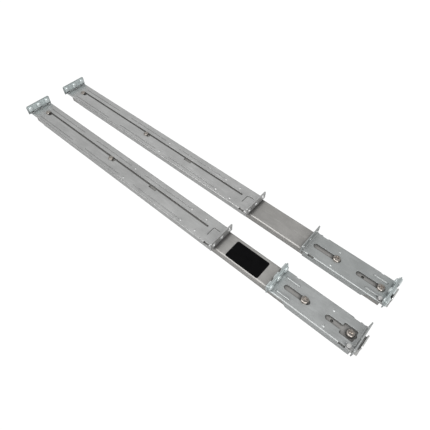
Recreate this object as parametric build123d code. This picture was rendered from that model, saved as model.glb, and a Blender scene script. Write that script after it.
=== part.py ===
from build123d import *
import os

# A pair of telescoping server rails, lying side by side with their outer faces up.
# Millimetres, +X to the rack's front, +Z up, table at Z 0, both rails closed.
# Rail "a" is the near one (labelled), rail "b" the far one, its front bracket turned round.

os.makedirs("parts", exist_ok=True)

# Rack standard, one unit high
unit_height = 43.7
hole_pitch = 15.875
hole_radius = 3.55

# Sheet thicknesses
sheet = 1.5
hook_sheet = 1.5
outer_skin = 1.2
outer_web = 1.5
middle_skin = 1.2
inner_skin = 1.2
lip_sheet = 1.2
cage_sheet = 0.4
cage_side = 0.6

# Along X the origin is the middle of the whole, hook and pegs included
length = 620.0
hook_gap = 2.6
peg_nose = 2.2
rear_x = -(length + hook_gap + hook_sheet - peg_nose) / 2
front_x = rear_x + length
pair_spacing = 74.0

# Slide section: half widths from its own centre line, which lies beside the flanges' one
slide_shift = 1.4
outer_half = 17.8
big_ball = 1.5
small_ball = 1.3
race_gap = 0.1
middle_half = outer_half - outer_skin - 2 * (big_ball + race_gap)
inner_half = middle_half - middle_skin - 2 * (small_ball + race_gap)

# Slide section: heights above the table
member_gap = 0.3
inner_top = 5.8
inner_cage_top = inner_top + member_gap + cage_sheet
middle_top = inner_cage_top + member_gap + middle_skin
outer_cage_top = middle_top + member_gap + cage_sheet
outer_top = outer_cage_top + member_gap + outer_web
skirt_bottom = 1.2
lip_reach = 2.0
bend_radius = 3.0

# Balls, in two sizes, and the cages that space them
ball_clearance = 0.3
cage_rim = 0.3
cage_bottom = skirt_bottom + lip_sheet + member_gap
big_ball_y = middle_half + race_gap + big_ball
big_ball_z = cage_bottom + cage_rim + big_ball
small_ball_y = inner_half + race_gap + small_ball
small_ball_z = cage_bottom + cage_rim + small_ball
cage_length = 280.0
balls_per_side = 5
ball_pitch = 60.0

# Members along X, and the stop block between the outer member's end and the middle one
rear_inset = 14.0
front_inset = 5.0
outer_start = rear_x + rear_inset
outer_end = front_x - front_inset
cage_start = (outer_start + outer_end - cage_length) / 2
stop_inset = 0.8
stop_length = 6.8
stop_half = 12.0
stop_depth = 6.0
stop_pin = 1.5
stop_pin_y = 8.0
end_gap = 0.4
end_step = 1.0
middle_start = outer_start + stop_inset + stop_length + end_gap
middle_end = outer_end - end_step
inner_start = middle_start + end_step
inner_end = middle_end - end_step

# Holes in the members, from the rear flange, or back from the front one
drain_back = 36.5
drain_radius = 2.0
gauge_x = (330.0, 372.0)
gauge_radius = 1.8
middle_slot_x = (60.0, 300.0, 540.0)
middle_slot_length = 24.0
middle_slot_width = 7.0
keyholes = (70.0, 250.0, 430.0)
keyhole_head = 4.5
keyhole_neck = 5.0
keyhole_run = 14.0

# Both brackets: folded sheet that rides on the channel, pegs and their plate at one end
bracket_gap = 0.1
bracket_side_gap = 0.35
web_bottom = outer_top + bracket_gap
web_top = web_bottom + sheet
bracket_half = outer_half + bracket_side_gap + sheet
bracket_bend = 2.0
wedge_drop = 0.5
press_root = 0.2
flange_height = 13.2
flange_top = web_top + flange_height
flange_corner = 2.0
flange_bend = 1.4
inside_bend = 2.0
hole_height = 6.9
hole_z = web_top + hole_height
head_gap = 0.05
dimple_y = 12.1
dimple_radius = 1.8
dimple_height = 0.7
peg_side = 9.2
peg_chamfer = 0.8
peg_shank = 3.1
peg_tail = 1.3
peg_tail_height = 1.2
plate_sheet = 1.0
plate_inset = 1.0
plate_lift = 2.8

# Rear bracket, from the rear flange
rear_length = 417.0
rear_wall = 8.5
rear_wall_start = 26.0
rear_wall_inset = 4.0
rear_chamfer = 11.0
slot_y = 4.5
slot_width = 3.0
slot_start = 20.5
slot_end = rear_length - 27.5
notch_start = 276.0
notch_length = 14.0
notch_depth = 4.4
port_step = 5.6
port_drop = 2.9
port_radius = 3.2
port_bore = 2.9
stud_x = (23.5, 190.0)
stud_clearance = 0.1
stud_tail = 1.2
stud_head = 3.9
stud_head_height = 1.6
stud_offset = 2.9
groove_y = 12.0
groove_width = 1.4
groove_depth = 0.6
groove_spans = ((22.0, 112.0), (142.0, 226.0), (256.0, rear_length - 67.0))
score_y = -16.5
score_width = 1.0
score_depth = 0.45
rear_dimples = (235.0, rear_length - 64.0, rear_length - 37.5)
tongue_x = rear_length - 20.8
tongue_y = (-6.0, 8.8)
tongue_run = 11.0
tongue_corner = 2.0
slit = 0.9
edge_window = (rear_length - 16.7, rear_length - 8.0)
window_depth = 2.2
window_drop = 3.4
foot_width = 4.0
foot_run = 2.6
foot_shift = 1.6

# Front bracket, measured from its peg flange
front_length = 115.5
front_wall = 10.0
front_wall_start = 22.0
front_wall_inset = 3.0
front_chamfer = 6.0
slots_plain = ((12.5, 49.0), (70.0, 110.5))
slots_turned = ((8.0, 46.0), (68.0, 107.5))
front_slot_width = 7.2
pocket_span = (91.5, 109.0)
pocket_width = 15.6
pocket_corner = 1.5
front_window = (97.0, 105.5)
rib_span = (8.5, 28.0)
rib_y = 11.4
rib_width = 3.4
rib_height = 1.3
front_dimple = 75.0
notch_x = (18.0, 108.0)
notch_run = 3.5
notch_bite = 1.7
screw_back = (73.8, 12.8)
screw_shank = 2.4
screw_head = 5.0
screw_head_height = 2.6
recess_width = 1.1
recess_depth = 1.5

# Rack latch on the front flange: arm on the web, hook in front of the flange
latch_inset = 7.5
latch_x = front_x - latch_inset
latch_y = -15.4
latch_pin = 1.5
latch_gap = 0.05
arm_half = 2.8
arm_low = web_top + latch_gap
arm_top = arm_low + hook_sheet
hook_x = front_x + hook_gap
hook_y = (-11.0, 8.0)
hook_height = 9.5
hook_corner = 2.5
toe_gap = 0.4
window_y = -9.0
window_gap = 0.55
coil_wire = 0.3
coil_turns = 3
coil_pitch = 0.66
coil_reach = latch_pin + latch_gap + coil_wire
coil_lift = 0.6
coil_low = arm_top + coil_lift
coil_legs = (5.0, 4.6)
rivet_head = 2.6
rivet_head_height = 0.8

# Release lever inside the inner member
lever_inset = 60.0
lever_x = front_x - lever_inset
lever_reach = 48.0
lever_tail = 12.0
lever_half = 3.0
lever_low = 2.2
lever_sheet = 1.2
lever_hub = 4.0
lever_pad = 4.2
lever_pin = 2.0
lever_pin_head = 3.0
lever_gap = 0.05

# Label on the near rail's channel, back from the front flange
label_back = (186.0, 134.0)
label_width = 28.0
label_sheet = 0.08
label_corner = 2.6

# Cuts run past the faces they open
over = 1.0


def at(s):
    """Distance from the rear flange turned into X."""
    return rear_x + s


def block(x0, x1, y0, y1, z0, z1):
    """A box from its six sides."""
    size = Box(x1 - x0, y1 - y0, z1 - z0)
    return Pos((x0 + x1) / 2, (y0 + y1) / 2, (z0 + z1) / 2) * size


def post(x, y, z0, z1, radius):
    """A round bar standing on Z."""
    return Pos(x, y, (z0 + z1) / 2) * Cylinder(radius, z1 - z0)


def bar_along_x(x0, x1, y, z, radius):
    """A round bar lying along X."""
    return Pos((x0 + x1) / 2, y, z) * Rot(0, 90, 0) * Cylinder(radius, x1 - x0)


def slot_cut(x0, x1, y, width, z0, z1):
    """A bar with round ends, standing for a slot or a rib."""
    half = width / 2
    cut = block(x0 + half, x1 - half, y - half, y + half, z0, z1)
    for x in (x0 + half, x1 - half):
        cut += post(x, y, z0, z1, half)
    return cut


def channel(half, z0, z1, skin, web, web_up, radius):
    """Section of a U in the YZ plane, its web at the top or the bottom."""
    side = 1 if web_up else -1
    middle = (z0 + z1) / 2
    outside = Pos(0, middle) * RectangleRounded(2 * half, z1 - z0, radius)
    outside += Pos(0, middle - side * radius / 2) * Rectangle(2 * half, z1 - z0 - radius)
    inner_radius = max(radius - skin, 0.3)
    depth = z1 - z0 - web + inner_radius
    edge = z0 - inner_radius if web_up else z1 + inner_radius
    hollow = Pos(0, edge + side * depth / 2) * RectangleRounded(2 * (half - skin), depth, inner_radius)
    return outside - hollow


def extruded(section, x0, x1, centre):
    """A YZ section drawn along X between two stations."""
    plane = Plane(origin=(x0, centre, 0), x_dir=(0, 1, 0), z_dir=(1, 0, 0))
    return extrude(plane * section, x1 - x0)


def grooves(y, z, ball):
    """The pair of raceway circles taken out of a section."""
    circle = Circle(ball + ball_clearance)
    return Pos(y, z) * circle + Pos(-y, z) * circle


def lips(half):
    """The pair of inward lips along the open side of a section."""
    strip = Rectangle(lip_reach, lip_sheet)
    middle = half - lip_reach / 2
    z = skirt_bottom + lip_sheet / 2
    return Pos(middle, z) * strip + Pos(-middle, z) * strip


def stop_pins(shift, z0, z1):
    """The two posts that hold the stop block, or the holes they pass."""
    x = outer_start + stop_inset + stop_length / 2
    centre = shift + slide_shift
    return post(x, centre - stop_pin_y, z0, z1, stop_pin) + post(x, centre + stop_pin_y, z0, z1, stop_pin)


def outer_member(shift):
    section = channel(outer_half, skirt_bottom, outer_top, outer_skin, outer_web, True, bend_radius)
    section += lips(outer_half - outer_skin / 2)
    section -= grooves(big_ball_y, big_ball_z, big_ball)
    body = extruded(section, outer_start, outer_end, shift + slide_shift)
    low = outer_top - outer_web - over
    high = outer_top + over
    for x in stud_x:
        body -= post(at(x), shift + slot_y, low, high, stud_tail)
    for back in screw_back:
        body -= post(front_x - back, shift, low, high, screw_shank)
    for x in gauge_x:
        body -= post(at(x), shift + slot_y, low, high, gauge_radius)
    body -= post(front_x - drain_back, shift, low, high, drain_radius)
    for x in stud_x:
        body -= post(at(x) + port_step, shift + slot_y - port_drop, low, high, port_bore)
    return body - stop_pins(shift, low, high)


def stop_block(shift):
    """Moulded block under the channel's web, held by two posts through it."""
    x0 = outer_start + stop_inset
    centre = shift + slide_shift
    top = outer_top - outer_web
    body = block(x0, x0 + stop_length, centre - stop_half, centre + stop_half, top - stop_depth, top)
    return body + stop_pins(shift, top - stop_depth / 2, outer_top)


def middle_member(shift):
    section = channel(middle_half, skirt_bottom, middle_top, middle_skin, middle_skin, True, bend_radius / 2)
    section += lips(middle_half - middle_skin / 2)
    section -= grooves(big_ball_y, big_ball_z, big_ball)
    section -= grooves(small_ball_y, small_ball_z, small_ball)
    body = extruded(section, middle_start, middle_end, shift + slide_shift)
    for s in middle_slot_x:
        ends = (at(s), at(s) + middle_slot_length)
        low = middle_top - middle_skin - over
        body -= slot_cut(*ends, shift + slide_shift, middle_slot_width, low, middle_top + over)
    return body


def inner_member(shift):
    centre = shift + slide_shift
    section = channel(inner_half, 0, inner_top, inner_skin, inner_skin, False, bend_radius / 2)
    section -= grooves(small_ball_y, small_ball_z, small_ball)
    body = extruded(section, inner_start, inner_end, centre)
    high = inner_skin + over
    for s in keyholes:
        body -= post(at(s), centre, -over, high, keyhole_head)
        body -= slot_cut(at(s), at(s) + keyhole_run, centre, keyhole_neck, -over, high)
    return body - post(lever_x, centre, -over, high, lever_pin)


def ball_stations():
    """X of each ball along a cage."""
    first = cage_start + cage_length / 2 - (balls_per_side - 1) / 2 * ball_pitch
    return [first + n * ball_pitch for n in range(balls_per_side)]


def cage(shift, ball_y, ball_z, ball, top):
    """A folded strip with a row of round windows on each side."""
    centre = shift + slide_shift
    section = channel(ball_y + cage_side / 2, cage_bottom, top, cage_side, cage_sheet, True, cage_side + cage_sheet)
    body = extruded(section, cage_start, cage_start + cage_length, centre)
    for x in ball_stations():
        body -= Pos(x, centre, ball_z) * Rot(90, 0, 0) * Cylinder(ball, 2 * outer_half)
    return body


def balls(shift, ball_y, ball_z, ball):
    centre = shift + slide_shift
    group = [Pos(x, centre + side * ball_y, ball_z) * Sphere(ball) for x in ball_stations() for side in (-1, 1)]
    return Compound(children=group)


def end_wedge(x, run, low):
    """The triangle that slopes a side wall's end, across the whole bracket."""
    corner = Polyline((x, low - over), (x + run, low - over), (x, web_bottom - wedge_drop), close=True)
    return extrude(Plane.XZ * make_face(corner), pair_spacing + unit_height, both=True)


def bend_fill(x, side, centre):
    """The rounded inside of a bend between the web and a flange whose outer face is at x."""
    root = x + side * sheet
    end = root + side * inside_bend
    half = bracket_half - bracket_bend
    top = web_top + inside_bend
    corner = block(*sorted((root, end)), centre - half, centre + half, web_top, top)
    return corner - Pos(end, centre, top) * Rot(90, 0, 0) * Cylinder(inside_bend, 2 * unit_height)


def bracket_shell(x0, x1, shift, wall, wall_x0, wall_x1, pegs_x):
    """Folded sheet: a flat web, two side walls and an upright flange at each end."""
    centre = shift + slide_shift
    low = web_top - wall
    section = channel(bracket_half, low, web_top, sheet, sheet, True, bracket_bend)
    body = extruded(section, x0, x1, centre)
    for a, b in ((x0 - over, wall_x0), (wall_x1, x1 + over)):
        body -= block(a, b, centre - unit_height, centre + unit_height, low - over, web_bottom)
    half = unit_height / 2
    for a, b in ((x0, x0 + sheet), (x1 - sheet, x1)):
        body += block(a, b, shift - half, shift + half, web_bottom, flange_top)
    # round the bends under the flanges and the flanges' top corners
    bends = body.edges().filter_by(Axis.Y).filter_by_position(Axis.Z, web_bottom - 0.01, web_bottom + 0.01)
    body = fillet([e for e in bends if min(abs(e.center().X - x0), abs(e.center().X - x1)) < 0.01], flange_bend)
    tops = body.edges().filter_by(Axis.X).filter_by_position(Axis.Z, flange_top - 0.01, flange_top + 0.01)
    body = fillet([e for e in tops if e.length < 2 * sheet], flange_corner)
    body += bend_fill(x0, 1, centre)
    body += bend_fill(x1, -1, centre)
    for x in (x0, x1):
        radius = peg_shank if x == pegs_x else hole_radius
        for row in (-1, 0, 1):
            body -= bar_along_x(x - sheet - over, x + sheet + over, shift + row * hole_pitch, hole_z, radius)
    return body


def raised(x, y, radius, height):
    """A small pressed dome, part of a sphere above the web."""
    ball = (radius ** 2 + height ** 2) / (2 * height)
    dome = Pos(x, y, web_top + height - ball) * Sphere(ball)
    return dome & block(x - radius, x + radius, y - radius, y + radius, web_top - press_root, web_top + height + over)


def bead(x0, x1, y, width, height):
    """A long pressed rib standing on the web."""
    top = web_top + height
    body = slot_cut(x0, x1, y, width, web_top - press_root, top)
    rim = body.edges().filter_by_position(Axis.Z, top - 0.01, top + 0.01)
    return fillet(rim, height * 0.9)


def edge_cut(shift, ends, side):
    """The small window where a bracket's web bends into its side wall."""
    edge = shift + slide_shift + side * bracket_half
    y0, y1 = sorted((edge - side * window_depth, edge + side * over))
    x0, x1 = sorted(ends)
    return block(x0, x1, y0, y1, web_top - window_drop, web_top + over)


def rear_bracket(shift):
    x1 = at(rear_length)
    body = bracket_shell(rear_x, x1, shift, rear_wall, at(rear_wall_start), x1 - rear_wall_inset, rear_x)
    body -= end_wedge(at(rear_wall_start), rear_chamfer, web_top - rear_wall)
    low = web_bottom - over
    high = web_top + over
    body -= slot_cut(at(slot_start), at(slot_end), shift + slot_y, slot_width, low, high)
    y1 = shift + slot_y
    body -= block(at(notch_start), at(notch_start + notch_length), y1 - notch_depth, y1, low, high)
    for x in stud_x:
        body -= post(at(x) + port_step, y1 - port_drop, low, high, port_radius)
    for row in (-1, 0, 1):
        y = shift + row * hole_pitch + foot_shift
        root = rear_x + sheet
        body -= block(root, root + foot_run, y - foot_width / 2, y + foot_width / 2, low, web_top + plate_lift)
    # the tongue's slit: across, round the corner and along
    y0 = shift + tongue_y[0]
    y1 = shift + tongue_y[1]
    turn = y1 - tongue_corner
    x0 = at(tongue_x)
    along = x0 + tongue_corner
    body -= block(x0, x0 + slit, y0, turn, low, high)
    ring = post(along, turn, low, high, tongue_corner) - post(along, turn, low, high, tongue_corner - slit)
    body -= ring & block(x0 - over, along, turn, y1 + over, low, high)
    body -= block(along, x0 + tongue_run, y1 - slit, y1, low, high)
    body -= edge_cut(shift, (at(edge_window[0]), at(edge_window[1])), -1)
    for a, b in groove_spans:
        for side in (-1, 1):
            y = shift + side * groove_y
            body -= slot_cut(at(a), at(b), y, groove_width, web_top - groove_depth, high)
    y = shift + score_y
    scored = (at(rear_wall_start), at(edge_window[0]) - score_width)
    body -= slot_cut(*scored, y, score_width, web_top - score_depth, high)
    for s in rear_dimples:
        for side in (-1, 1):
            body += raised(at(s), shift + side * dimple_y, dimple_radius, dimple_height)
    return body


def guide_stud(s, shift):
    """Shoulder rivet in the channel; its offset head holds the rear bracket down."""
    x = at(s)
    y = shift + slot_y
    base = web_top + head_gap
    head = post(x, y - stud_offset, base, base + stud_head_height, stud_head)
    rim = head.edges().filter_by_position(Axis.Z, base + stud_head_height - 0.01, base + stud_head_height + 0.01)
    body = fillet(rim, stud_head_height / 2)
    body += post(x, y, outer_top, base, slot_width / 2 - stud_clearance)
    return body + post(x, y, outer_top - outer_web, outer_top, stud_tail)


def front_bracket(shift, turned):
    """Short bracket with pegs at one end; turned round, the pegs face the front."""
    x0 = front_x - front_length

    def along(s):
        return front_x - s if turned else x0 + s

    def span(pair):
        return sorted((along(pair[0]), along(pair[1])))

    walls = span((front_wall_start, front_length - front_wall_inset))
    body = bracket_shell(x0, front_x, shift, front_wall, *walls, front_x if turned else x0)
    run = -front_chamfer if turned else front_chamfer
    body -= end_wedge(along(front_wall_start), run, web_top - front_wall)
    low = web_bottom - over
    high = web_top + over
    for pair in slots_turned if turned else slots_plain:
        a, b = span(pair)
        body -= slot_cut(a, b, shift, front_slot_width, low, high)
    if not turned:
        a, b = span(pocket_span)
        opening = block(a, b, shift - pocket_width / 2, shift + pocket_width / 2, low, high)
        body -= fillet(opening.edges().filter_by(Axis.Z), pocket_corner)
    a, b = span(rib_span)
    for side in (-1, 1):
        body -= edge_cut(shift, span(front_window), side)
        body += bead(a, b, shift + side * rib_y, rib_width, rib_height)
        body += raised(along(front_dimple), shift + side * dimple_y, dimple_radius, dimple_height)
    edge = shift + slide_shift + bracket_half
    for s in notch_x:
        a, b = span((s, s + notch_run))
        body -= block(a, b, edge - notch_bite, edge + over, low, high)
    # the corner of the front flange that the latch's arm swings through
    top = web_top + hook_sheet + window_gap
    root = front_x - sheet - inside_bend
    body -= block(root, front_x + over, shift - unit_height, shift + window_y, web_top, top)
    return body - post(latch_x, shift + latch_y, low, high, latch_pin)


def rack_peg(x, side, shift, row):
    """A square peg with a chamfered nose, riveted through the flange."""
    y = shift + row * hole_pitch
    half = peg_side / 2
    a, b = sorted((x, x + side * peg_nose))
    nose = block(a, b, y - half, y + half, hole_z - half, hole_z + half)
    face = nose.faces().sort_by(Axis.X)[-1 if side > 0 else 0]
    nose = chamfer(face.edges(), peg_chamfer)
    inside = x - side * (sheet + plate_sheet)
    body = nose + bar_along_x(*sorted((x, inside)), y, hole_z, peg_shank)
    tail = sorted((inside, inside - side * peg_tail_height))
    return body + bar_along_x(*tail, y, hole_z, peg_shank + peg_tail)


def peg_plate(x, side, shift):
    """The backing plate that a flange's three pegs are riveted over."""
    a, b = sorted((x - side * sheet, x - side * (sheet + plate_sheet)))
    half = unit_height / 2 - plate_inset
    body = block(a, b, shift - half, shift + half, web_top + plate_lift, flange_top - plate_inset)
    body = fillet(body.edges().filter_by(Axis.X), flange_corner)
    for row in (-1, 0, 1):
        body -= bar_along_x(a - over, b + over, shift + row * hole_pitch, hole_z, peg_shank)
    return body


def bracket_screw(back, shift):
    """Pan-head screw with a cross recess."""
    x = front_x - back
    base = web_top + head_gap
    top = base + screw_head_height
    head = post(x, shift, base, top, screw_head)
    rim = head.edges().filter_by_position(Axis.Z, top - 0.01, top + 0.01)
    body = fillet(rim, 0.6 * screw_head_height) + post(x, shift, outer_top - outer_web, base, screw_shank)
    for turn in (20, 110):
        body -= Pos(x, shift, top) * Rot(0, 0, turn) * Box(screw_head, recess_width, 2 * recess_depth)
    return body


def latch_hook(shift):
    """Flat arm on the web, bent up into a hook in front of the flange."""
    y = shift + latch_y
    end = hook_x + hook_sheet
    body = post(latch_x, y, arm_low, arm_top, arm_half)
    body += block(latch_x, end, y - arm_half, y + arm_half, arm_low, arm_top)
    body += block(front_x + toe_gap, end, y - arm_half, shift + hook_y[1], arm_low, arm_top)
    top = web_top + hook_height
    plate = block(hook_x, end, shift + hook_y[0], shift + hook_y[1], arm_low, top)
    corners = plate.edges().filter_by(Axis.X).filter_by_position(Axis.Z, top - 0.01, top + 0.01)
    body += fillet(corners, hook_corner)
    return body - post(latch_x, y, arm_low - over, arm_top + over, latch_pin + latch_gap)


def latch_rivet(shift):
    """Rivet through the web, tall enough for the arm and its coil."""
    y = shift + latch_y
    top = coil_low + coil_turns * coil_pitch + 2 * coil_wire
    body = post(latch_x, y, web_bottom, top, latch_pin)
    return body + post(latch_x, y, top, top + rivet_head_height, rivet_head)


def latch_coil(shift):
    """Torsion spring round the rivet: one leg over the arm, the other down to the web."""
    place = Pos(latch_x, shift + latch_y, coil_low) * Rot(0, 0, 90)
    turns = place * Helix(coil_pitch, coil_turns * coil_pitch, coil_reach)
    start = turns @ 0
    end = turns @ 1
    leg_in = Line(start - (turns % 0) * coil_legs[0], start)
    leg_out = Line(end, end + (turns % 1) * coil_legs[1])
    path = Wire([leg_in.edge(), turns.edge(), leg_out.edge()])
    body = sweep(Plane(path @ 0, z_dir=path % 0) * Circle(coil_wire), path, is_frenet=True)
    foot = path @ 1
    return body + post(foot.X, foot.Y, web_top, foot.Z, coil_wire) + Pos(foot.X, foot.Y, foot.Z) * Sphere(coil_wire)


def release_lever(shift):
    centre = shift + slide_shift
    tip = lever_x + lever_reach
    high = lever_low + lever_sheet
    body = post(lever_x, centre, lever_low, high, lever_hub)
    body += block(lever_x - lever_tail, tip, centre - lever_half, centre + lever_half, lever_low, high)
    body += post(tip, centre, lever_low, high, lever_pad)
    return body - post(lever_x, centre, lever_low - over, high + over, lever_pin + lever_gap)


def release_pin(shift):
    centre = shift + slide_shift
    top = lever_low + lever_sheet + 2 * lever_gap
    body = post(lever_x, centre, 0, top, lever_pin)
    return body + post(lever_x, centre, top, top + rivet_head_height, lever_pin_head)


def release_coil(shift):
    """Flat ring of spring wire under the lever's hub."""
    wire = (lever_low - inner_skin) / 2 - lever_gap
    return Pos(lever_x, shift + slide_shift, inner_skin + wire) * Torus(lever_pin + wire + lever_gap, wire)


def rating_label(shift):
    half = label_width / 2
    top = outer_top + label_sheet
    x0, x1 = (front_x - back for back in label_back)
    body = block(x0, x1, shift - half, shift + half, outer_top, top)
    return fillet(body.edges().filter_by(Axis.Z), label_corner)


def save(name, body):
    export_step(body, "parts/" + name + ".step")


for rail, shift, turned in (("a", -pair_spacing / 2, False), ("b", pair_spacing / 2, True)):
    save("outer_member_" + rail, outer_member(shift))
    save("stop_block_" + rail, stop_block(shift))
    save("middle_member_" + rail, middle_member(shift))
    save("inner_member_" + rail, inner_member(shift))
    save("outer_cage_" + rail, cage(shift, big_ball_y, big_ball_z, big_ball, outer_cage_top))
    save("outer_balls_" + rail, balls(shift, big_ball_y, big_ball_z, big_ball))
    save("inner_cage_" + rail, cage(shift, small_ball_y, small_ball_z, small_ball, inner_cage_top))
    save("inner_balls_" + rail, balls(shift, small_ball_y, small_ball_z, small_ball))
    save("rear_bracket_" + rail, rear_bracket(shift))
    save("rear_stud_" + rail, guide_stud(stud_x[0], shift))
    save("front_stud_" + rail, guide_stud(stud_x[1], shift))
    save("front_bracket_" + rail, front_bracket(shift, turned))
    save("rear_screw_" + rail, bracket_screw(screw_back[0], shift))
    save("front_screw_" + rail, bracket_screw(screw_back[1], shift))
    peg_x = front_x if turned else front_x - front_length
    side = 1 if turned else -1
    for row, name in ((-1, "near"), (0, "mid"), (1, "far")):
        save("rear_peg_" + name + "_" + rail, rack_peg(rear_x, -1, shift, row))
        save("front_peg_" + name + "_" + rail, rack_peg(peg_x, side, shift, row))
    save("rear_peg_plate_" + rail, peg_plate(rear_x, -1, shift))
    save("front_peg_plate_" + rail, peg_plate(peg_x, side, shift))
    save("latch_hook_" + rail, latch_hook(shift))
    save("latch_rivet_" + rail, latch_rivet(shift))
    save("latch_coil_" + rail, latch_coil(shift))
    save("release_lever_" + rail, release_lever(shift))
    save("release_pin_" + rail, release_pin(shift))
    save("release_coil_" + rail, release_coil(shift))

save("label_a", rating_label(-pair_spacing / 2))
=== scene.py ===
import math

import bmesh
import bpy
from mathutils import Matrix, Vector


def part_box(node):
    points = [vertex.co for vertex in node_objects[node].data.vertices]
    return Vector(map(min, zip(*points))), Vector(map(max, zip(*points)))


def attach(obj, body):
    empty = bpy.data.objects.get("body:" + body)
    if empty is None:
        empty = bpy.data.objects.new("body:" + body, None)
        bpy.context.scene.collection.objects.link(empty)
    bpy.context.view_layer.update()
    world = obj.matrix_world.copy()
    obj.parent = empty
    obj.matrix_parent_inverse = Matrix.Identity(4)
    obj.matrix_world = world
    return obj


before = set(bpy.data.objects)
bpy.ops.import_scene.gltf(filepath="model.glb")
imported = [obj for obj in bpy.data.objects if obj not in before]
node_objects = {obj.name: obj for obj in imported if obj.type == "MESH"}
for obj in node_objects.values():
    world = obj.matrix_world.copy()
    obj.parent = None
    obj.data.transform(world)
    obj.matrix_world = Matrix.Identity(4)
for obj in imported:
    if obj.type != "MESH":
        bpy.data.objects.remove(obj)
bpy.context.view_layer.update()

# Camera: a normal lens a good half metre from the rails, looking down on their front ends
# from the near side. Its place was found from the rack flanges, whose size is standard.
camera_place = Vector((0.27565, -0.24805, 0.43364))
camera_azimuth = math.radians(130.70)
camera_drop = math.radians(53.55)
camera_roll = math.radians(0.34)
camera_lens = 31.73
looking = Vector((
    math.cos(camera_azimuth) * math.cos(camera_drop),
    math.sin(camera_azimuth) * math.cos(camera_drop),
    -math.sin(camera_drop),
))
level_right = looking.cross(Vector((0, 0, 1))).normalized()
level_up = level_right.cross(looking)
right = level_right * math.cos(camera_roll) + level_up * math.sin(camera_roll)
up = level_up * math.cos(camera_roll) - level_right * math.sin(camera_roll)
camera_data = bpy.data.cameras.new("camera")
camera_data.lens = camera_lens
camera_data.sensor_width = 36.0
camera_data.clip_start = 0.01
camera = bpy.data.objects.new("camera", camera_data)
turn = Matrix((right, up, -looking)).transposed().to_4x4()
camera.matrix_world = Matrix.Translation(camera_place) @ turn
bpy.context.collection.objects.link(camera)
bpy.context.scene.camera = camera
bpy.context.scene.view_settings.view_transform = "Standard"

# Studio: a white table top with no edge in view, a pale surround that is a little darker
# overhead, and two soft lights on the viewer's side: one ahead of the rails, one above them.
# The camera sees table and surround as one plain white; every other ray sees them as they are.
table_half = 4.0
table_gap = 0.0002
table_grey = 0.52
seen_white = 1.05
surround_tint = (0.995, 1.0, 1.0, 1)
surround_heights = (0.6, 0.85)
surround_strengths = (0.64, 0.52)


def white_to_camera(tree, shader, white, end):
    """Shows plain white to the camera and the shader itself to every other ray."""
    white.inputs["Strength"].default_value = seen_white
    rays = tree.nodes.new("ShaderNodeLightPath")
    mix = tree.nodes.new("ShaderNodeMixShader")
    tree.links.new(rays.outputs["Is Camera Ray"], mix.inputs[0])
    tree.links.new(shader.outputs[0], mix.inputs[1])
    tree.links.new(white.outputs[0], mix.inputs[2])
    tree.links.new(mix.outputs["Shader"], end.inputs["Surface"])


table_mesh = bpy.data.meshes.new("table_top")
table_mesh.from_pydata(
    [(x * table_half, y * table_half, -table_gap) for x, y in ((-1, -1), (1, -1), (1, 1), (-1, 1))],
    [], [(0, 1, 2, 3)])
table = bpy.data.objects.new("table_top", table_mesh)
bpy.context.collection.objects.link(table)
table_material = bpy.data.materials.new("white_table")
table_material.use_nodes = True
table_tree = table_material.node_tree
table_shader = table_tree.nodes["Principled BSDF"]
table_shader.inputs["Base Color"].default_value = (table_grey, table_grey, table_grey, 1)
table_shader.inputs["Roughness"].default_value = 0.9
table_shader.inputs["Specular IOR Level"].default_value = 0.0
white_to_camera(table_tree, table_shader, table_tree.nodes.new("ShaderNodeEmission"),
                table_tree.nodes["Material Output"])
table_mesh.materials.append(table_material)

surround = bpy.data.worlds.new("surround")
surround.use_nodes = True
bpy.context.scene.world = surround
surround_tree = surround.node_tree
surround_shader = surround_tree.nodes["Background"]
surround_shader.inputs["Color"].default_value = surround_tint
surround_place = surround_tree.nodes.new("ShaderNodeTexCoord")
surround_height = surround_tree.nodes.new("ShaderNodeSeparateXYZ")
surround_ramp = surround_tree.nodes.new("ShaderNodeMapRange")
surround_numbers = surround_heights + surround_strengths
for socket, number in zip(("From Min", "From Max", "To Min", "To Max"), surround_numbers):
    surround_ramp.inputs[socket].default_value = number
surround_tree.links.new(surround_place.outputs["Generated"], surround_height.inputs[0])
surround_tree.links.new(surround_height.outputs["Z"], surround_ramp.inputs["Value"])
surround_tree.links.new(surround_ramp.outputs["Result"], surround_shader.inputs["Strength"])
surround_white = surround_tree.nodes.new("ShaderNodeBackground")
surround_white.inputs["Color"].default_value = (1, 1, 1, 1)
white_to_camera(surround_tree, surround_shader, surround_white, surround_tree.nodes["World Output"])


def soft_light(name, place, aim, width, power):
    """A square area light that faces a point."""
    data = bpy.data.lights.new(name, "AREA")
    data.size = width
    data.energy = power
    light = bpy.data.objects.new(name, data)
    light.location = place
    light.rotation_euler = (Vector(aim) - Vector(place)).to_track_quat("-Z", "Y").to_euler()
    bpy.context.collection.objects.link(light)


soft_light("front_light", place=(1.2, -0.6, 1.5), aim=(0, 0, 0), width=1.0, power=20)
soft_light("top_light", place=(-0.35, -0.55, 1.5), aim=(-0.2, 0, 0), width=1.6, power=19)


# Outer, middle and inner members: three roll-formed steel channels, one inside the other, that
# carry the balls in their folded edges. Their plating is warmer and darker than the brackets',
# with long drawn lines, and painted shade darkens it where the brackets lie close, mostly on its upward
# faces.
channel_colour = (0.355, 0.347, 0.334)
channel_roughness = 0.4


def node_graph(name):
    """A material with an empty tree but for its shader; returns it, a node maker and a linker."""
    material = bpy.data.materials.new(name)
    material.use_nodes = True
    tree = material.node_tree
    shader = tree.nodes["Principled BSDF"]

    def add(kind, **values):
        node = tree.nodes.new(kind)
        for key, value in values.items():
            if key in node.inputs:
                node.inputs[key].default_value = value
            else:
                setattr(node, key, value)
        return node

    return material, shader, add, tree.links.new


def shade(colour, factor):
    """The same colour, lighter or darker, as a socket value."""
    return tuple(min(part * factor, 1.0) for part in colour) + (1,)


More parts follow.
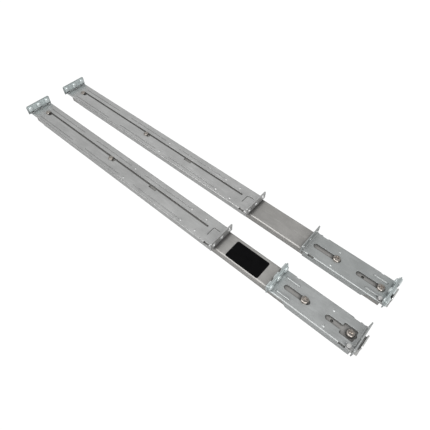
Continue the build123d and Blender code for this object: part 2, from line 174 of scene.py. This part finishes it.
def stretched_noise(add, link, coordinates, stretch, detail):
    """Noise drawn out by different amounts along X, Y and Z, in cells for each metre."""
    mapping = add("ShaderNodeMapping")
    mapping.inputs["Scale"].default_value = stretch
    link(coordinates, mapping.inputs["Vector"])
    noise = add("ShaderNodeTexNoise", Scale=1.0, Detail=detail, Roughness=0.6)
    link(mapping.outputs["Vector"], noise.inputs["Vector"])
    return noise.outputs["Fac"]


def spread(add, link, value, low, high, start=0.3, end=0.7):
    """A noise value stretched out between two numbers."""
    ramp = add("ShaderNodeMapRange")
    for socket, number in zip(("From Min", "From Max", "To Min", "To Max"), (start, end, low, high)):
        ramp.inputs[socket].default_value = number
    link(value, ramp.inputs["Value"])
    return ramp.outputs["Result"]


def mixed(add, link, factor, first, second):
    """A colour between two, by a factor; each colour is a value or another node's output."""
    mix = add("ShaderNodeMix", data_type="RGBA")
    link(factor, mix.inputs[0])
    for socket, colour in ((mix.inputs[6], first), (mix.inputs[7], second)):
        if isinstance(colour, tuple):
            socket.default_value = colour
        else:
            link(colour, socket)
    return mix.outputs[2]


def plated_steel(name, colour, roughness, grain, cloud, wear, edge_radius=0.00045, metallic=0.7,
                 shade_strength=0.75, reach=0.004, hidden=(0.25, 0.95), wall_share=1.0, teal_reflection=None):
    """Plated sheet: long fine grain, cloudy bloom, a few scuffs and brighter edges, partly rubbed
    wear and partly a painted highlight. Painted shade darkens the colour where other parts lie
    within reach, between the two shares of open sky in hidden, and walls keep the share of it
    that wall_share gives. teal_reflection is a painted reflection: where it starts and where it
    has faded along X, and its colour."""
    material, shader, add, link = node_graph(name)
    place = add("ShaderNodeTexCoord").outputs["Object"]
    fine = stretched_noise(add, link, place, (60, 2600, 2600), 3)
    bloom = stretched_noise(add, link, place, (38, 60, 60), 4)
    speckle = stretched_noise(add, link, place, (1500, 1500, 1500), 2)
    scuffs = stretched_noise(add, link, place, (26, 420, 420), 2)
    clouds = spread(add, link, bloom, 0, 1)
    cloudy = mixed(add, link, clouds, shade(colour, 1 - cloud), shade(colour, 1 + cloud))
    # Painted reflection: a teal tint of the peg plates beside the pegs, fading along X.
    if teal_reflection:
        along = add("ShaderNodeSeparateXYZ")
        link(place, along.inputs[0])
        reflection_fade = spread(add, link, along.outputs["X"], 0.9, 0, teal_reflection[0], teal_reflection[1])
        cloudy = mixed(add, link, reflection_fade, cloudy, teal_reflection[2] + (1,))
    grained = mixed(add, link, spread(add, link, fine, 0, grain), cloudy, shade(colour, 0.62))
    speckled = mixed(add, link, spread(add, link, speckle, 0, 0.18), grained, shade(colour, 1.3))
    rubbed = spread(add, link, scuffs, 0, wear, 0.62, 0.74)
    scuffed = mixed(add, link, rubbed, speckled, shade(colour, 1.4))
    # Edges are brightened in the colour: partly rubbed wear, partly a painted highlight.
    bevel = add("ShaderNodeBevel", samples=6, Radius=edge_radius)
    facing = add("ShaderNodeNewGeometry")
    match = add("ShaderNodeVectorMath", operation="DOT_PRODUCT")
    link(bevel.outputs["Normal"], match.inputs[0])
    link(facing.outputs["True Normal"], match.inputs[1])
    edge = spread(add, link, match.outputs["Value"], 0.45, 0, 0.80, 0.985)
    worn_and_highlit = mixed(add, link, edge, scuffed, shade(colour, 1.45))
    # Painted shade: where the AO node finds other parts close, the colour darkens towards a third of itself,
    # less on walls.
    corner = add("ShaderNodeAmbientOcclusion", samples=8, Distance=reach)
    painted_shade = spread(add, link, corner.outputs["AO"], shade_strength, 0, *hidden)
    upright = add("ShaderNodeSeparateXYZ")
    link(facing.outputs["Normal"], upright.inputs[0])
    painted_shade_by_facing = add("ShaderNodeMath", operation="MULTIPLY")
    link(painted_shade, painted_shade_by_facing.inputs[0])
    link(spread(add, link, upright.outputs["Z"], wall_share, 1, 0.3, 0.9), painted_shade_by_facing.inputs[1])
    link(mixed(add, link, painted_shade_by_facing.outputs[0], worn_and_highlit, shade(colour, 0.3)), shader.inputs["Base Color"])
    link(spread(add, link, bloom, roughness - 0.07, roughness + 0.09), shader.inputs["Roughness"])
    bump = add("ShaderNodeBump", Strength=0.06, Distance=0.0002)
    link(fine, bump.inputs["Height"])
    link(bevel.outputs["Normal"], bump.inputs["Normal"])
    link(bump.outputs["Normal"], shader.inputs["Normal"])
    shader.inputs["Metallic"].default_value = metallic
    return material


def dress_one(material, name):
    """Gives a finish to one node."""
    node_objects[name].data.materials.clear()
    node_objects[name].data.materials.append(material)


def dress(material, *names):
    """Gives a finish to the named nodes of both rails."""
    for name in names:
        for rail in ("_a", "_b"):
            dress_one(material, name + rail)


channel_plate = plated_steel("channel_plate", channel_colour, channel_roughness, grain=0.5, cloud=0.05,
                             wear=0.35, shade_strength=0.97, reach=0.006, hidden=(0.72, 1.0), wall_share=0.15)
dress(channel_plate, "outer_member", "middle_member", "inner_member")

# Ball cages and balls: each cage is a bright folded strip with round windows, and each window
# holds one polished bearing ball between the races of two members.
cage_colour = (0.55, 0.55, 0.53)
ball_colour = (0.7, 0.7, 0.71)
ball_tarnish = (0.6, 0.6, 0.6, 1)


def polished(name, colour, roughness, tarnish_and_streaks):
    """Turned or polished metal, with haze that mixes a second colour in: a faint tarnish on balls and wire,
    painted brown reflection streaks on the nickel.
    """
    material, shader, add, link = node_graph(name)
    place = add("ShaderNodeTexCoord").outputs["Object"]
    haze = stretched_noise(add, link, place, (700, 700, 700), 3)
    hazy = spread(add, link, haze, 0, 1)
    link(mixed(add, link, hazy, shade(colour, 1.1), tarnish_and_streaks), shader.inputs["Base Color"])
    link(spread(add, link, haze, roughness, roughness + 0.12), shader.inputs["Roughness"])
    bump = add("ShaderNodeBump", Strength=0.05, Distance=0.0001)
    link(haze, bump.inputs["Height"])
    link(bump.outputs["Normal"], shader.inputs["Normal"])
    shader.inputs["Metallic"].default_value = 1.0
    return material


cage_strip = plated_steel("cage_strip", cage_colour, 0.3, grain=0.3, cloud=0.05, wear=0.2, edge_radius=0.0002)
dress(cage_strip, "outer_cage", "inner_cage")
dress(polished("ball_steel", ball_colour, 0.1, ball_tarnish), "outer_balls", "inner_balls")

# Stop block and release lever: moulded in black, with the fine pebble of a spark-eroded mould.
# The block is rubber, pressed into the rear end of the outer member. The lever is a hard plastic,
# held on the inner member by its pin, over a flat spring coil.
rubber_colour = (0.03, 0.03, 0.032)
lever_colour = (0.035, 0.035, 0.04)


def moulded(name, colour, roughness):
    """Moulded rubber or plastic with a fine pebble and a slight unevenness in its sheen."""
    material, shader, add, link = node_graph(name)
    place = add("ShaderNodeTexCoord").outputs["Object"]
    pebble = stretched_noise(add, link, place, (2400, 2400, 2400), 2)
    sheen = stretched_noise(add, link, place, (90, 90, 90), 3)
    uneven = spread(add, link, sheen, 0, 1)
    link(mixed(add, link, uneven, shade(colour, 0.8), shade(colour, 1.3)), shader.inputs["Base Color"])
    link(spread(add, link, sheen, roughness - 0.06, roughness + 0.06), shader.inputs["Roughness"])
    bump = add("ShaderNodeBump", Strength=0.25, Distance=0.0001)
    link(pebble, bump.inputs["Height"])
    link(bump.outputs["Normal"], shader.inputs["Normal"])
    return material, shader


dress(moulded("stop_rubber", rubber_colour, 0.7)[0], "stop_block")
dress(moulded("lever_plastic", lever_colour, 0.5)[0], "release_lever")

# Rear and front brackets: pressed from sheet steel, then zinc plated. The plating is a
# cool satin grey with faint rolling lines along the sheet and a soft, cloudy bloom. Beside
# the pegs the sheet carries a painted teal reflection of the peg plates, fading along the sheet.
zinc_roughness = 0.34
rear_zinc = {"a": (0.415, 0.417, 0.413), "b": (0.448, 0.449, 0.445)}
front_zinc = {"a": (0.385, 0.397, 0.395), "b": (0.37, 0.385, 0.382)}
reflection_colour = (0.43, 0.485, 0.485)
reflection_run = 0.016
for name, colours, rail, inward in (
    ("rear_bracket", rear_zinc, "a", 1), ("rear_bracket", rear_zinc, "b", 1),
    ("front_bracket", front_zinc, "a", 1), ("front_bracket", front_zinc, "b", -1),
):
    low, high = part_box(f"{name}_{rail}")
    root = low[0] if inward > 0 else high[0]
    zinc = plated_steel(f"zinc_{name}_{rail}", colours[rail], zinc_roughness, grain=0.35, cloud=0.07,
                        wear=0.5, teal_reflection=(root, root + inward * reflection_run, reflection_colour))
    dress_one(zinc, f"{name}_{rail}")

# Screws, studs and the release lever's pin: nickel plated turned steel, a little yellow, with
# painted reflections: soft brown and white streaks in its colour. The studs are riveted to the outer
# member and run in the rear bracket's slot; the screws hold the front bracket.
nickel_colour = (0.62, 0.58, 0.54)
# Painted reflection: this dark brown is mixed in by haze noise as streaks.
nickel_streak_colour = (0.10, 0.08, 0.065, 1)
nickel = polished("nickel_plate", nickel_colour, 0.16, nickel_streak_colour)
dress(nickel, "rear_stud", "front_stud", "rear_screw", "front_screw", "release_pin")

# Pegs and the plates behind them: steel, zinc plated, with a pale blue-green passivation that
# is a little duller than the brackets' plating. Three pegs stand in a row on one flange of each
# bracket, to fit the square holes of a rack.
teal_colour = (0.50, 0.555, 0.555)
peg_colour = (0.58, 0.625, 0.625)
teal = plated_steel("blue_zinc", teal_colour, 0.4, grain=0.15, cloud=0.08, wear=0.3,
                    edge_radius=0.0003, metallic=0.35, shade_strength=0.5)
dress(teal, "rear_peg_plate", "front_peg_plate")
peg_zinc = plated_steel("peg_zinc", peg_colour, 0.42, grain=0.1, cloud=0.06, wear=0.3,
                        edge_radius=0.0006, metallic=0.6, shade_strength=0.5)
dress(peg_zinc, "rear_peg_near", "rear_peg_mid", "rear_peg_far")
dress(peg_zinc, "front_peg_near", "front_peg_mid", "front_peg_far")

# Peg heads: each peg's riveted end is upset into a low dome on the backing plate. The one
# beside the far rail's latch rivet is flatter, so that it clears the rivet's head.
dome_radius = 0.0042
dome_height = 0.0018
flat_height = 0.0008
dome_seat = 0.0002
for end in ("rear", "front"):
    for rail in ("a", "b"):
        for row in ("near", "mid", "far"):
            low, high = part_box(f"{end}_peg_{row}_{rail}")
            inward = -1 if (end, rail) == ("front", "b") else 1
            root = (high[0] if inward > 0 else low[0]) - inward * dome_seat
            rise = flat_height if (end, row, rail) == ("front", "near", "b") else dome_height
            middle_y, middle_z = (low[1] + high[1]) / 2, (low[2] + high[2]) / 2
            form = bmesh.new()
            bmesh.ops.create_uvsphere(form, u_segments=28, v_segments=14, radius=1)
            bmesh.ops.bisect_plane(form, geom=form.verts[:] + form.edges[:] + form.faces[:],
                                   plane_co=(0, 0, 0), plane_no=(-1, 0, 0), clear_outer=True)
            for vertex in form.verts:
                x, y, z = vertex.co
                vertex.co = (root + inward * x * rise, middle_y + y * dome_radius, middle_z + z * dome_radius)
            bmesh.ops.recalc_face_normals(form, faces=form.faces[:])
            for face in form.faces:
                face.smooth = True
            mesh = bpy.data.meshes.new(f"{end}_peg_dome_{row}_{rail}")
            form.to_mesh(mesh)
            form.free()
            dome = bpy.data.objects.new(mesh.name, mesh)
            bpy.context.collection.objects.link(dome)
            mesh.materials.append(peg_zinc)
            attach(dome, f"{end}_bracket_{rail}")

# Latch: a zinc plated arm that turns on a rivet in the web, with its hook in front of the front
# flange, and the torsion spring of hard-drawn wire that holds it shut. The release lever's flat
# coil is of the same wire.
latch_colour = (0.54, 0.54, 0.53)
wire_colour = (0.42, 0.42, 0.43)
wire_tarnish = (0.3, 0.3, 0.3, 1)
latch_plate = plated_steel("latch_plate", latch_colour, 0.34, grain=0.3, cloud=0.06, wear=0.4)
dress(latch_plate, "latch_hook", "latch_rivet")
dress(polished("spring_wire", wire_colour, 0.28, wire_tarnish), "latch_coil", "release_coil")

# Label: a bare black foil plate with rounded corners, stuck on the near rail's channel. Its
# satin black hardly mirrors the room.
foil_colour = (0.0018, 0.0018, 0.002)
label_foil, foil_shader = moulded("label_foil", foil_colour, 0.5)
foil_shader.inputs["Specular IOR Level"].default_value = 0.04
dress_one(label_foil, "label_a")
